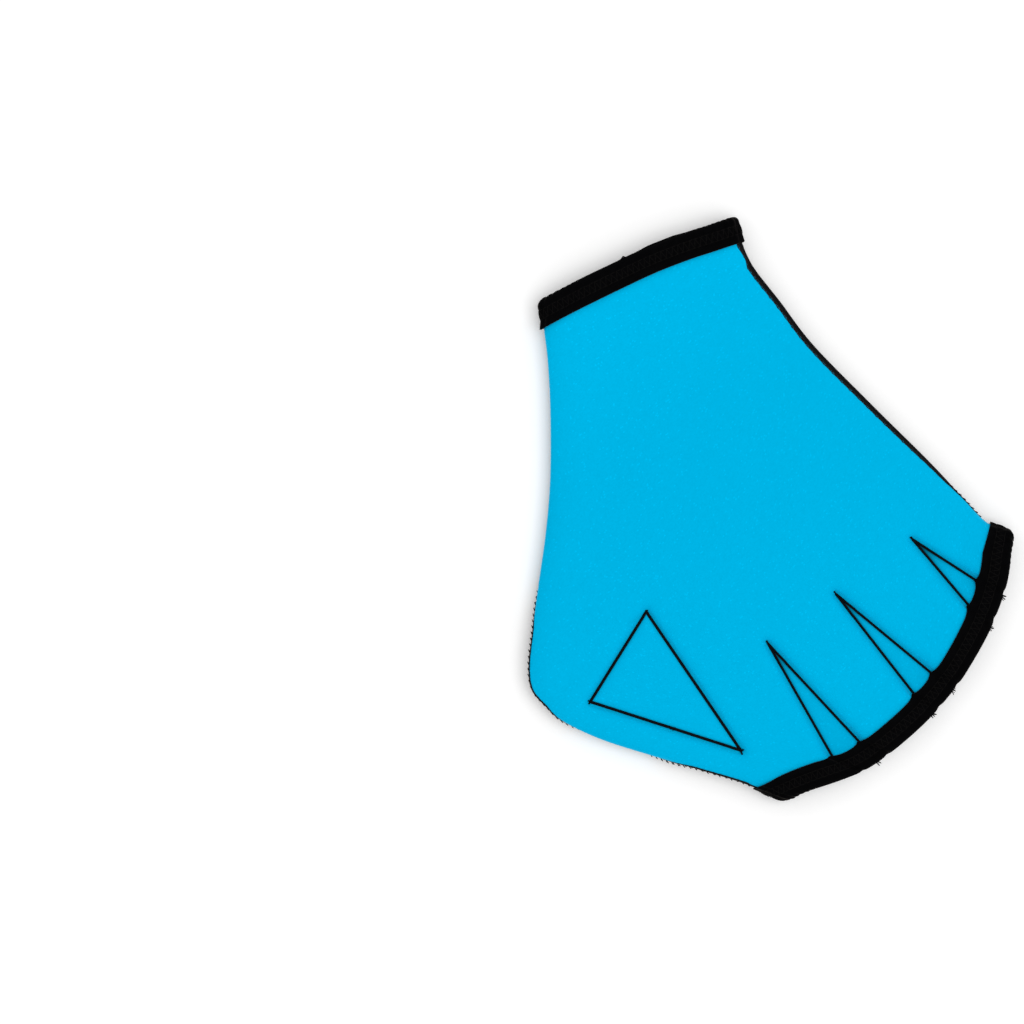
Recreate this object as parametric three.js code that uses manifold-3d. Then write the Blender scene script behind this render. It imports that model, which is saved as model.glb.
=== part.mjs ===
import * as THREE from "three";
import { mergeVertices } from "three/addons/utils/BufferGeometryUtils.js";
import Module from "manifold-3d";

// A webbed swim glove lying flat with the back of the hand up.
// Millimetres, +Z up, wrist towards +Y, fingers towards -Y, thumb towards -X.

// Driving sizes
const gloveWidth = 189.5; // thumb corner to the little finger's mouth
const gloveLength = 218.3; // wrist mouth to the longest finger's mouth
const foamThickness = 2;
const tapedFoam = 1.4; // the foam where the tape squeezes it
const tapeThickness = 1;
const tapeWidth = 9.8; // outer flap, from the fold
const innerTapeWidth = 8; // inner flap, from the fold
const clearance = 0.3; // between neighbouring pieces
const handRoom = 6.8; // clear height inside, over the palm
const mouthRoom = 5.3; // clear height inside both mouths
const sideRise = 10; // from a side seam up to the full height
const seamPinch = 1.3; // the two panels stay closed this far past a web seam
const webRise = 4.7; // from there up to the full height
const mouthRise = 14; // from a tape's edge to the height of the hand
const tapeStep = 3; // from a tape's edge to the full foam thickness
const endTaper = 0.33; // share of the finger tape's width that it loses towards a side seam
const taperReach = 0.09; // share across the hand over which it does
const tapeClear = 1; // between a web seam's end and the finger tape
const threadWidth = 1.3;
const threadHeight = 0.45;
const threadShoulder = 0.15; // how much lower a thread's sides are than its top

// Sizes that follow from them
const tapeNear = tapedFoam / 2 + clearance; // foam's middle to the tape's near face
const tapeFar = tapeNear + tapeThickness; // foam's middle to the tape's far face
const mouthHigh = tapeFar + mouthRoom / 2; // seam plane to the foam's middle, open
const mouthLow = tapeFar + clearance / 2; // the same where a web is closed
const seamHeight = mouthHigh + tapeFar; // the tape rests on the table
const palmHigh = seamHeight - foamThickness / 2; // the palm rests on the table
const backHigh = 1.5 * foamThickness + handRoom - seamHeight;
const handLow = foamThickness / 2 + clearance / 2;

// The four edges, thumb side first or wrist side first, as shares of the glove's width and length
const wristEdge = [
  { width: -0.082, length: 0.498 },
  { width: -0.014, length: 0.495 },
  { width: 0.071, length: 0.49 },
  { width: 0.147, length: 0.484 },
  { width: 0.22, length: 0.474 },
  { width: 0.28, length: 0.463 },
  { width: 0.327, length: 0.455 },
];
const fingerEdge = [
  { width: -0.178, length: -0.461 },
  { width: -0.141, length: -0.472 },
  { width: -0.035, length: -0.491 },
  { width: 0.02, length: -0.495 },
  { width: 0.101, length: -0.485 },
  { width: 0.185, length: -0.467 },
  { width: 0.253, length: -0.444 },
  { width: 0.332, length: -0.406 },
  { width: 0.401, length: -0.364 },
  { width: 0.454, length: -0.316 },
  { width: 0.493, length: -0.264 },
];
const thumbSide = [
  { width: -0.082, length: 0.498 },
  { width: -0.113, length: 0.454 },
  { width: -0.139, length: 0.402 },
  { width: -0.184, length: 0.325 },
  { width: -0.254, length: 0.22 },
  { width: -0.317, length: 0.141 },
  { width: -0.379, length: 0.072 },
  { width: -0.441, length: 0.002 },
  { width: -0.48, length: -0.044 },
  { width: -0.499, length: -0.081 },
  { width: -0.494, length: -0.114 },
  { width: -0.475, length: -0.16 },
  { width: -0.427, length: -0.22 },
  { width: -0.356, length: -0.288 },
  { width: -0.284, length: -0.354 },
  { width: -0.233, length: -0.401 },
  { width: -0.203, length: -0.433 },
  { width: -0.178, length: -0.461 },
];
const littleFingerSide = [
  { width: 0.327, length: 0.455 },
  { width: 0.317, length: 0.41 },
  { width: 0.313, length: 0.384 },
  { width: 0.313, length: 0.353 },
  { width: 0.324, length: 0.286 },
  { width: 0.338, length: 0.192 },
  { width: 0.379, length: 0.053 },
  { width: 0.424, length: -0.09 },
  { width: 0.444, length: -0.167 },
  { width: 0.466, length: -0.224 },
  { width: 0.493, length: -0.264 },
];

// Shares across the hand, from the thumb side, and along it, from the wrist tape to the finger tape.
// A finger web is a V: its point, then where its two seams reach the finger tape.
const fingerWebs = [
  { name: "web_seam_index_middle", across: 0.441, along: 0.734, left: 0.234, right: 0.309 },
  { name: "web_seam_middle_ring", across: 0.616, along: 0.752, left: 0.497, right: 0.569 },
  { name: "web_seam_ring_little", across: 0.822, along: 0.809, left: 0.778, right: 0.844 },
];
const thumbWeb = [
  { across: 0.296, along: 0.559 },
  { across: 0.081, along: 0.669 },
  { across: 0.134, along: 0.909 },
];

// How far up the rounded side edge, in degrees, the palm panel's edge comes
const seamTurn = [
  { along: 0, thumb: 0, littleFinger: 14 },
  { along: 0.05, thumb: 0, littleFinger: 36 },
  { along: 0.42, thumb: 0, littleFinger: 36 },
  { along: 0.5, thumb: 18, littleFinger: 35 },
  { along: 0.64, thumb: 18, littleFinger: 34 },
  { along: 0.72, thumb: 5, littleFinger: 33 },
  { along: 0.82, thumb: 5, littleFinger: 27 },
  { along: 0.9, thumb: 25, littleFinger: 10 },
  { along: 1, thumb: 25, littleFinger: 2 },
];

// How finely the panels are divided
const sideSteps = 5;
const palmSideSteps = 7;
const thumbColumns = [1, 4, 3]; // beside, over and past the thumb web
const fingerColumns = 3;
const rowCount = 18;
const rowGap = 0.018; // an even row nearer than this share to the corner of a web gives way to it

const blend = THREE.MathUtils.lerp;
const smooth = (t) => THREE.MathUtils.smoothstep(t, 0, 1);
const dome = (t) => (t >= 1 ? 1 : Math.sqrt(1 - (1 - t) ** 2));

function edgeCurve(table) {
  const points = table.map((p) => new THREE.Vector2(p.width * gloveWidth, p.length * gloveLength));
  return new THREE.SplineCurve(points);
}

const edges = {
  wrist: edgeCurve(wristEdge),
  finger: edgeCurve(fingerEdge),
  thumb: edgeCurve(thumbSide),
  littleFinger: edgeCurve(littleFingerSide),
};
const corners = {
  thumbWrist: edges.wrist.getPoint(0),
  littleWrist: edges.wrist.getPoint(1),
  thumbFinger: edges.finger.getPoint(0),
  littleFinger: edges.finger.getPoint(1),
};

// The flat pattern: a point at a share across and along the hand, fitted to the four edges
function pattern(across, along) {
  const wrist = edges.wrist.getPointAt(across);
  const finger = edges.finger.getPointAt(across);
  const thumb = edges.thumb.getPointAt(along);
  const little = edges.littleFinger.getPointAt(along);
  const top = corners.thumbWrist.clone().lerp(corners.littleWrist, across);
  const bottom = corners.thumbFinger.clone().lerp(corners.littleFinger, across);
  return wrist
    .lerp(finger, along)
    .add(thumb.lerp(little, across))
    .sub(top.lerp(bottom, along));
}

// The share along the hand that a tape covers at a share across it
function tapeShare(across, end) {
  const step = 0.04; // a short share, to measure the pattern's slope over
  const run = pattern(across, Math.abs(end - step)).sub(pattern(across, end));
  const left = pattern(Math.max(across - step, 0), end);
  const edge = pattern(Math.min(across + step, 1), end).sub(left).normalize();
  const nearSide = smooth(1 - Math.min(across, 1 - across) / taperReach);
  const taper = end === 1 ? endTaper * nearSide : 0;
  return ((1 - taper) * step * tapeWidth) / Math.abs(run.cross(edge));
}

// A row runs across the hand: along is 0 at the wrist tape's edge and 1 at the finger tape's.
// A row under a tape also has its distance from the tape's fold.
function spot(across, row) {
  const wristShare = tapeShare(across, 0);
  const fingerShare = tapeShare(across, 1);
  if (row.fold === undefined) {
    return pattern(across, blend(wristShare, 1 - fingerShare, row.along));
  }
  const inner = row.along === 0 ? wristShare : 1 - fingerShare;
  return pattern(across, row.along).lerp(pattern(across, inner), row.fold / tapeWidth);
}

// Half the foam's thickness, and the height of its middle over the seam plane, closed and open
function heights(across, row, up) {
  const span = pattern(across, 0).distanceTo(pattern(across, 1));
  const away = row.fold === undefined ? Math.min(row.along, 1 - row.along) * span : 0;
  const tape = 1 - smooth(away / tapeStep);
  const mouth = 1 - smooth(away / mouthRise);
  return {
    half: blend(foamThickness, tapedFoam, tape) / 2,
    low: blend(handLow, mouthLow, tape),
    high: blend(up ? backHigh : palmHigh, mouthHigh, mouth),
  };
}

function flatTriangle(points) {
  return new THREE.Triangle(...points.map((p) => new THREE.Vector3(p.x, p.y, 0)));
}

const tapeEdge = { along: 1 };
const fingerWebCorners = fingerWebs.map((web) => [
  spot(web.across, web),
  spot(web.left, tapeEdge),
  spot(web.right, tapeEdge),
]);
const thumbWebCorners = thumbWeb.map((corner) => spot(corner.across, corner));
const webTriangles = [...fingerWebCorners, thumbWebCorners].map(flatTriangle);

// 0 on a closed web, 1 where the glove is open to its full height
function webLift(point) {
  const flat = new THREE.Vector3(point.x, point.y, 0);
  const gaps = webTriangles.map((web) =>
    web.closestPointToPoint(flat, new THREE.Vector3()).distanceTo(flat),
  );
  return dome(Math.max(Math.min(...gaps) - seamPinch, 0) / webRise);
}

const uncovered = (row) => ({ along: row.along });

function raised(flat, tapeFree, at, offset, turn) {
  const middle = blend(at.low, at.high, webLift(tapeFree));
  return new THREE.Vector3(flat.x, flat.y, seamHeight + (middle + offset) * Math.sin(turn));
}

// The share across the hand where the rounded side ends
function sideShare(row, half) {
  return (sideRise + half) / spot(0, row).distanceTo(spot(1, row));
}

// A point of the rounded side, offset from the foam's middle; turn is 0 at the side seam,
// a quarter turn where the back is flat and minus a quarter where the palm is flat
function sidePoint(side, turn, row, offset) {
  const end = side === "thumb" ? 0 : 1;
  const at = heights(end, row, turn > 0);
  const depth = at.half - offset + (sideRise + offset) * (1 - Math.cos(turn));
  const inward = (r) => {
    const share = sideShare(r, at.half);
    const flat = spot(Math.abs(end - share), r);
    return spot(end, r).lerp(flat, depth / (sideRise + at.half));
  };
  return raised(inward(row), inward(uncovered(row)), at, offset, turn);
}

// Columns run along the hand between the rounded sides. Guides keep some of them on the edges
// of the webs, and the others are spaced evenly between the guides.
const pointSpread = 0.012; // half the width of a column at the point of a web
const seamSteps = 5; // stretches of a guide beside a seam
const crossingSteps = 24; // halvings that find where a row crosses a seam
const [thumbPoint, thumbOuter, thumbInner] = thumbWeb;
const firstFingerColumn = thumbColumns.reduce((sum, count) => sum + count);
const columnCount = firstFingerColumn + fingerWebs.length * (2 + fingerColumns);

const wristSide = sideShare({ along: 0 }, tapedFoam / 2);
const fromWrist = (number) => ({
  along: 0,
  share: blend(wristSide, 1 - wristSide, number / columnCount),
});

// Where a row crosses the straight line between two points, as a share across the hand
function crossing(along, from, to) {
  const line = to.clone().sub(from);
  const side = (share) => line.cross(spot(share, { along }).sub(from));
  let [low, high] = [0, 1];
  for (let k = 0; k < crossingSteps; k += 1) {
    const share = (low + high) / 2;
    if (side(low) * side(share) > 0) low = share;
    else high = share;
  }
  return low;
}

// Stops that keep a guide on the seam between two corners of a web, its ends set aside by a spread
function seamStops(from, to, fromSpread, toSpread) {
  const [start, end] = [from, to].map((corner) => spot(corner.across, corner));
  const inner = Array.from({ length: seamSteps - 1 }, (_, k) => {
    const t = (k + 1) / seamSteps;
    const along = blend(from.along, to.along, t);
    return { along, share: crossing(along, start, end) + blend(fromSpread, toSpread, t) };
  });
  return [
    { along: from.along, share: from.across + fromSpread },
    ...inner,
    { along: to.along, share: to.across + toSpread },
  ];
}

const guides = [
  {
    number: thumbColumns[0],
    stops: [
      fromWrist(thumbColumns[0]),
      ...seamStops(thumbPoint, thumbOuter, -pointSpread, 0),
      ...seamStops(thumbOuter, thumbInner, 0, -pointSpread).slice(1),
      { along: 1, share: thumbInner.across - pointSpread },
    ],
  },
  {
    number: thumbColumns[0] + thumbColumns[1],
    stops: [
      fromWrist(thumbColumns[0] + thumbColumns[1]),
      ...seamStops(thumbPoint, thumbInner, pointSpread, pointSpread),
      { along: 1, share: thumbInner.across + pointSpread },
    ],
  },
];
fingerWebs.forEach((web, i) => {
  const numberAt = (k) => firstFingerColumn + i * (2 + fingerColumns) + k;
  const [left, right] = [web.left, web.right].map((across) => ({ across, along: 1 }));
  const leftStops = seamStops(web, left, -pointSpread, 0);
  const rightStops = seamStops(web, right, pointSpread, 0);
  const middleStops = leftStops.map(({ along, share }, k) => {
    return { along, share: (share + rightStops[k].share) / 2 };
  });
  [leftStops, middleStops, rightStops].forEach((stops, k) => {
    guides.push({ number: numberAt(k), stops: [fromWrist(numberAt(k)), ...stops] });
  });
});

// The value between a table's two rows on either side of a place along the hand
function follow(stops, along, key) {
  const next = Math.max(1, stops.findIndex((stop) => stop.along >= along));
  const [a, b] = [stops[next - 1], stops[next]];
  return blend(a[key], b[key], (along - a.along) / (b.along - a.along));
}

function columnShare(number, row) {
  const side = sideShare(row, heights(0, row, true).half);
  const fixed = [
    { number: 0, share: side },
    ...guides.map((guide) => ({
      number: guide.number,
      share: follow(guide.stops, row.along, "share"),
    })),
    { number: columnCount, share: 1 - side },
  ];
  const next = Math.max(1, fixed.findIndex((guide) => guide.number >= number));
  const [a, b] = [fixed[next - 1], fixed[next]];
  return blend(a.share, b.share, (number - a.number) / (b.number - a.number));
}

function middlePoint(number, up, row, offset) {
  const across = columnShare(number, row);
  const at = heights(across, row, up);
  const turn = up ? Math.PI / 2 : -Math.PI / 2;
  return raised(spot(across, row), spot(across, uncovered(row)), at, offset, turn);
}

function seamTurnAt(side, along) {
  return THREE.MathUtils.degToRad(follow(seamTurn, along, side));
}

// Half the clearance at the side seam, as a turn
function seamGap(side, turn, row, offset) {
  const at = heights(side === "thumb" ? 0 : 1, row, turn > 0);
  const along = Math.hypot((at.high + offset) * Math.cos(turn), (sideRise + offset) * Math.sin(turn));
  return clearance / 2 / Math.max(along, 1);
}

// One line of points over a panel, from the thumb seam to the little finger's
function panelLine(up, row, offset) {
  const sign = up ? 1 : -1;
  const steps = up ? sideSteps : palmSideSteps;
  const side = (name) => {
    const seam = seamTurnAt(name, row.along);
    const start = seam + sign * seamGap(name, seam, row, offset);
    const turns = Array.from({ length: steps }, (_, k) => blend(start, (sign * Math.PI) / 2, k / steps));
    return turns.map((turn) => sidePoint(name, turn, row, offset));
  };
  const middle = Array.from({ length: columnCount + 1 }, (_, k) => middlePoint(k, up, row, offset));
  return [...side("thumb"), ...middle, ...side("littleFinger").reverse()];
}

// Joins loops of points into one closed body: end to end in a ring, or with both ends closed
function skin(loops, ring) {
  const size = loops[0].length;
  const index = [];
  const quad = (a, b, c, d) => index.push(a, b, c, a, c, d);
  const count = ring ? loops.length : loops.length - 1;
  for (let j = 0; j < count; j += 1) {
    const here = j * size;
    const next = ((j + 1) % loops.length) * size;
    for (let i = 0; i < size; i += 1) {
      const k = (i + 1) % size;
      quad(here + i, here + k, next + k, next + i);
    }
  }
  if (!ring) {
    const last = count * size;
    for (let i = 0; i < size / 2 - 1; i += 1) {
      const k = size - 1 - i;
      quad(i, k, k - 1, i + 1);
      quad(last + i, last + i + 1, last + k - 1, last + k);
    }
  }
  const geometry = new THREE.BufferGeometry().setFromPoints(loops.flat());
  geometry.setIndex(index);
  return facingOut(mergeVertices(geometry));
}

function facingOut(geometry) {
  const position = geometry.getAttribute("position");
  const corner = (i) => new THREE.Vector3().fromBufferAttribute(position, geometry.index.array[i]);
  let volume = 0;
  for (let i = 0; i < geometry.index.count; i += 3) {
    volume += corner(i).dot(corner(i + 1).cross(corner(i + 2)));
  }
  if (volume < 0) geometry.index.array.reverse();
  return geometry;
}

const wasm = await Module();
wasm.setup();

function toSolid(geometry) {
  const vertProperties = new Float32Array(geometry.getAttribute("position").array);
  const triVerts = new Uint32Array(geometry.index.array);
  return new wasm.Manifold(new wasm.Mesh({ numProp: 3, vertProperties, triVerts }));
}

function toGeometry(solid) {
  const mesh = solid.getMesh();
  const geometry = new THREE.BufferGeometry();
  geometry.setAttribute("position", new THREE.BufferAttribute(mesh.vertProperties, 3));
  geometry.setIndex(new THREE.BufferAttribute(mesh.triVerts, 1));
  return geometry;
}

// A straight bar along a seam; each stop of its line has a height, its section is given around it
function bar(line, section) {
  const along = line.at(-1).point.clone().sub(line[0].point).normalize();
  const loops = line.map((stop) =>
    section.map(({ aside, rise }) => {
      const x = stop.point.x - along.y * aside;
      const y = stop.point.y + along.x * aside;
      return new THREE.Vector3(x, y, stop.height + rise);
    }),
  );
  return toSolid(skin(loops, false));
}

const threadHalf = threadWidth / 2;
const grooveHalf = threadHalf + clearance;
const grooveFloor = -threadHeight - clearance;
const grooveTop = backHigh + foamThickness; // above everything beside the seam
const threadSection = [
  { aside: -threadHalf, rise: -threadHeight },
  { aside: -threadHalf, rise: -threadShoulder },
  { aside: 0, rise: 0 },
  { aside: threadHalf, rise: -threadShoulder },
  { aside: threadHalf, rise: -threadHeight },
];
const grooveSection = [
  { aside: -grooveHalf, rise: grooveFloor },
  { aside: -grooveHalf, rise: grooveTop },
  { aside: grooveHalf, rise: grooveTop },
  { aside: grooveHalf, rise: grooveFloor },
];

// A seam's line on the closed foam; past a corner it runs on by its extra length
function seamLine(from, to, extra, atTape) {
  const toEnd = to.clone().sub(from).normalize();
  const onFoam = seamHeight + handLow + foamThickness / 2;
  const atEdge = seamHeight + mouthLow + tapedFoam / 2;
  const stop = (point, distance, height) => ({
    point: point.clone().addScaledVector(toEnd, distance),
    height,
  });
  if (!atTape) return [stop(from, -extra, onFoam), stop(to, extra, onFoam)];
  const nearEdge = blend(onFoam, atEdge, 1 - smooth(tapeClear / tapeStep));
  return [
    stop(from, -extra, onFoam),
    stop(to, -tapeStep, onFoam),
    stop(to, -tapeClear, nearEdge),
  ];
}

function seamPair(name, lines) {
  const unite = (section, extra) =>
    lines
      .map(([from, to, atTape]) => bar(seamLine(from, to, extra, atTape), section))
      .reduce((all, one) => all.add(one));
  const thread = unite(threadSection, threadHalf);
  const groove = unite(grooveSection, grooveHalf);
  return { name, thread, groove };
}

const seams = fingerWebCorners.map(([point, left, right], i) =>
  seamPair(fingerWebs[i].name, [
    [point, left, true],
    [point, right, true],
  ]),
);
const [webPoint, webLeft, webRight] = thumbWebCorners;
seams.push(
  seamPair("web_seam_thumb", [
    [webPoint, webLeft, false],
    [webLeft, webRight, false],
    [webRight, webPoint, false],
  ]),
);

// Rows run closer together towards the tapes, and one runs through each corner of a web
const cornerRows = [...fingerWebs, ...thumbWeb].map((corner) => corner.along);
const easedRows = Array.from({ length: rowCount + 1 }, (_, k) => {
  const even = k / rowCount;
  return (even + (1 - Math.cos(even * Math.PI)) / 2) / 2;
});
const clearRows = easedRows.filter((row) => cornerRows.every((c) => Math.abs(c - row) > rowGap));

// The panels end inside the tapes, a clearance short of the fold
const foamEnd = tapeThickness + clearance;
const panelRows = [
  { along: 0, fold: foamEnd },
  ...[...clearRows, ...cornerRows].sort((a, b) => a - b).map((along) => ({ along })),
  { along: 1, fold: foamEnd },
];

function panel(up) {
  const loops = panelRows.map((row) => {
    const { half } = heights(0, row, up);
    return [...panelLine(up, row, half), ...panelLine(up, row, -half).reverse()];
  });
  return skin(loops, false);
}

// The folded tape's section: distance from the fold, and offset from the foam's middle
const foldAngles = [0, 45, 90, 135, 180].map(THREE.MathUtils.degToRad);
const tapeSection = [
  { fold: tapeThickness, offset: tapeNear },
  { fold: tapeWidth, offset: tapeNear },
  { fold: tapeWidth, offset: tapeFar },
  ...foldAngles.map((a) => ({ fold: tapeFar * (1 - Math.sin(a)), offset: tapeFar * Math.cos(a) })),
  { fold: innerTapeWidth, offset: -tapeFar },
  { fold: innerTapeWidth, offset: -tapeNear },
  { fold: tapeThickness, offset: -tapeNear },
];

// A tape goes once round its mouth: over the back, round one side, under the palm and back
function binding(along) {
  const places = [];
  const turns = Array.from({ length: 2 * sideSteps - 1 }, (_, k) => (k + 1) / (2 * sideSteps));
  const addSide = (side, from, to) => {
    turns.forEach((share) => {
      const turn = blend(from, to, share);
      places.push((row, offset) => sidePoint(side, turn, row, offset));
    });
  };
  const addMiddle = (numbers, up) => {
    numbers.forEach((k) => places.push((row, offset) => middlePoint(k, up, row, offset)));
  };
  const numbers = Array.from({ length: columnCount + 1 }, (_, k) => k);
  addSide("thumb", -Math.PI / 2, Math.PI / 2);
  addMiddle(numbers, true);
  addSide("littleFinger", Math.PI / 2, -Math.PI / 2);
  addMiddle([...numbers].reverse(), false);
  const loops = places.map((place) =>
    tapeSection.map(({ fold, offset }) => place({ along, fold }, offset)),
  );
  return skin(loops, true);
}

function paint(color, roughness) {
  return new THREE.MeshStandardMaterial({ color, roughness, metalness: 0 });
}
const blueKnit = paint(0x02b5e8, 0.85);
const blackKnit = paint(0x15161a, 0.85);
const blackTape = paint(0x0d0d10, 0.8);
const blackThread = paint(0x0b0c10, 0.7);

const glove = new THREE.Group();
function add(name, geometry, material) {
  const mesh = new THREE.Mesh(geometry, material);
  mesh.name = name;
  glove.add(mesh);
}

const back = seams.reduce((solid, seam) => solid.subtract(seam.groove), toSolid(panel(true)));
add("hand_back_panel", toGeometry(back), blueKnit);
add("palm_panel", panel(false), blackKnit);
add("wrist_binding", binding(0), blackTape);
add("finger_binding", binding(1), blackTape);
seams.forEach((seam) => add(seam.name, toGeometry(seam.thread), blackThread));

// The origin is on the table under the middle of the glove
const middle = new THREE.Box3().setFromObject(glove).getCenter(new THREE.Vector3());
glove.position.set(-middle.x, -middle.y, 0);

export default glove;
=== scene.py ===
import math

import bpy
import numpy as np
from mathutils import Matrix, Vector
from mathutils.bvhtree import BVHTree


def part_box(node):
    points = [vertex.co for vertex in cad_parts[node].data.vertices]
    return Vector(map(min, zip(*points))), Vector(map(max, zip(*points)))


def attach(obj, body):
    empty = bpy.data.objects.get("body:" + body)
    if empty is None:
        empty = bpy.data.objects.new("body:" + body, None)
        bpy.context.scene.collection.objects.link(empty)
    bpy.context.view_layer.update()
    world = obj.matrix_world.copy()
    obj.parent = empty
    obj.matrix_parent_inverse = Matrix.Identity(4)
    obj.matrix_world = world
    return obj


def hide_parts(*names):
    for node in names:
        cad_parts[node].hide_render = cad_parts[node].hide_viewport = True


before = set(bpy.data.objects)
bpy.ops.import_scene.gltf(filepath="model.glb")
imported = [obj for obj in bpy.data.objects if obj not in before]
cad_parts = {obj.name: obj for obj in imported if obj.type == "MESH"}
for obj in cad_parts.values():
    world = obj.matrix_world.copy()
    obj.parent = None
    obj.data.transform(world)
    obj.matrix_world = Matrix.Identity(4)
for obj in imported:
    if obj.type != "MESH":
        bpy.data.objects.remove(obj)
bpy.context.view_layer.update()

# A webbed swim glove of foam rubber, lying flat with the back of the hand up.
# Worked out in millimetres: +Z up, wrist towards +Y, thumb towards -X. Meshes are made in metres.
mm = 0.001
scene = bpy.context.scene

glove = {
    "width": 189.5,
    "length": 218.3,
    "foam": 2.0,  # thickness of the foam rubber
    "tapedFoam": 1.4,  # where the tape squeezes it
    "tape": 1.0,
    "tapeWidth": 9.8,  # outer flap, from the fold
    "innerTapeWidth": 8.0,
    "clearance": 0.3,
    "handRoom": 6.8,
    "mouthRoom": 5.3,
    "sideRise": 10.0,  # from a side seam up to the full height
    "seamPinch": 1.3,  # the panels stay closed this far past a web seam
    "webRise": 4.7,  # from there up to the full height
    "mouthRise": 14.0,
    "tapeStep": 3.0,
    "endTaper": 0.33,  # share of the finger tape's width that it loses towards a side seam
    "taperReach": 0.09,
}

tapeNear = glove["tapedFoam"] / 2 + glove["clearance"]
tapeFar = tapeNear + glove["tape"]
mouthHigh = tapeFar + glove["mouthRoom"] / 2
mouthLow = tapeFar + glove["clearance"] / 2
seamHeight = mouthHigh + tapeFar  # the plane where the back and the palm meet
palmHigh = seamHeight - glove["foam"] / 2
backHigh = 1.5 * glove["foam"] + glove["handRoom"] - seamHeight
handLow = glove["foam"] / 2 + glove["clearance"] / 2

# The four edges, from the thumb side or from the wrist, as shares of the width and the length
outline = {
    "wrist": [
        (-0.082, 0.498), (-0.014, 0.495), (0.071, 0.49), (0.147, 0.484),
        (0.22, 0.474), (0.28, 0.463), (0.327, 0.455),
    ],
    "finger": [
        (-0.178, -0.461), (-0.141, -0.472), (-0.035, -0.491), (0.02, -0.495),
        (0.101, -0.485), (0.185, -0.467), (0.253, -0.444), (0.332, -0.406),
        (0.401, -0.364), (0.454, -0.316), (0.493, -0.264),
    ],
    "thumb": [
        (-0.082, 0.498), (-0.113, 0.454), (-0.139, 0.402), (-0.184, 0.325), (-0.254, 0.22),
        (-0.317, 0.141), (-0.379, 0.072), (-0.441, 0.002), (-0.48, -0.044), (-0.499, -0.081),
        (-0.494, -0.114), (-0.475, -0.16), (-0.427, -0.22), (-0.356, -0.288),
        (-0.284, -0.354), (-0.233, -0.401), (-0.203, -0.433), (-0.178, -0.461),
    ],
    "littleFinger": [
        (0.327, 0.455), (0.317, 0.41), (0.313, 0.384), (0.313, 0.353), (0.324, 0.286),
        (0.338, 0.192), (0.379, 0.053), (0.424, -0.09), (0.444, -0.167), (0.461, -0.2266),
        (0.493, -0.264),
    ],
}

# Webs, in shares across the hand and along it: the point of each V and its two ends at the tape,
# and the three corners of the thumb's web
fingerWebs = {
    "web_seam_index_middle": {"across": 0.431, "along": 0.7366, "left": 0.234, "right": 0.309},
    "web_seam_middle_ring": {"across": 0.611, "along": 0.7556, "left": 0.497, "right": 0.569},
    "web_seam_ring_little": {"across": 0.8195, "along": 0.814, "left": 0.77, "right": 0.8405},
}
thumbWeb = [(0.287, 0.5623), (0.081, 0.669), (0.131, 0.909)]

# Degrees that the palm panel's edge comes up over the rounded side, at a share along the hand
seamTurn = {
    "along": [0, 0.045, 0.07, 0.42, 0.5, 0.64, 0.72, 0.82, 0.9, 0.935, 0.96, 1],
    "thumb": [-30, -30, -30, -30, 12, 16, -30, -30, 22, 24, 25, 27],
    "littleFinger": [38, 26, 36, 36, 35, 34, 32, 26, 8, 5, -12, -25],
}


def blend(a, b, share):
    return a + (b - a) * share


def smooth(t):
    t = np.clip(t, 0, 1)
    return t * t * (3 - 2 * t)


def dome(t):
    return np.sqrt(1 - (1 - np.clip(t, 0, 1)) ** 2)


def bell(distance, width):
    return np.exp(-((distance / width) ** 2))


# A smooth curve through the points, read by its share of the length
def edgeCurve(rows):
    points = np.array(rows) * (glove["width"], glove["length"])
    padded = np.vstack([points[:1], points, points[-1:]])
    t = np.linspace(0, 1, 120, endpoint=False)[:, None]
    stretches = []
    for a, b, c, d in zip(padded, padded[1:], padded[2:], padded[3:]):
        p, q = (c - a) / 2, (d - b) / 2
        stretches.append(((2 * b - 2 * c + p + q) * t + 3 * (c - b) - 2 * p - q) * t**2 + p * t + b)
    line = np.vstack([*stretches, points[-1:]])
    run = np.concatenate([[0], np.cumsum(np.linalg.norm(np.diff(line, axis=0), axis=1))])

    def at(share):
        reached = np.asarray(share) * run[-1]
        return np.stack([np.interp(reached, run, line[:, k]) for k in (0, 1)], axis=-1)

    return at


edges = {name: edgeCurve(rows) for name, rows in outline.items()}


# The flat pattern: a point at a share across and along the hand, fitted to the four edges
def pattern(across, along):
    across, along = np.broadcast_arrays(np.asarray(across, float), np.asarray(along, float))
    a, b = across[..., None], along[..., None]
    ends = blend(edges["wrist"](across), edges["finger"](across), b)
    sides = blend(edges["thumb"](along), edges["littleFinger"](along), a)
    top = blend(edges["wrist"](0.0), edges["wrist"](1.0), a)
    bottom = blend(edges["finger"](0.0), edges["finger"](1.0), a)
    return ends + sides - blend(top, bottom, b)


def cross(a, b):
    return a[..., 0] * b[..., 1] - a[..., 1] * b[..., 0]


# The share along the hand that a tape covers
def tapeShare(across, end):
    across = np.asarray(across, float)
    step = 0.04
    run = pattern(across, abs(end - step)) - pattern(across, end)
    left = pattern(np.maximum(across - step, 0), end)
    edge = pattern(np.minimum(across + step, 1), end) - left
    edge /= np.linalg.norm(edge, axis=-1, keepdims=True)
    taper = smooth(1 - np.minimum(across, 1 - across) / glove["taperReach"])
    kept = 1 - glove["endTaper"] * taper * (end == 1)
    return kept * step * glove["tapeWidth"] / np.abs(cross(run, edge))


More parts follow.
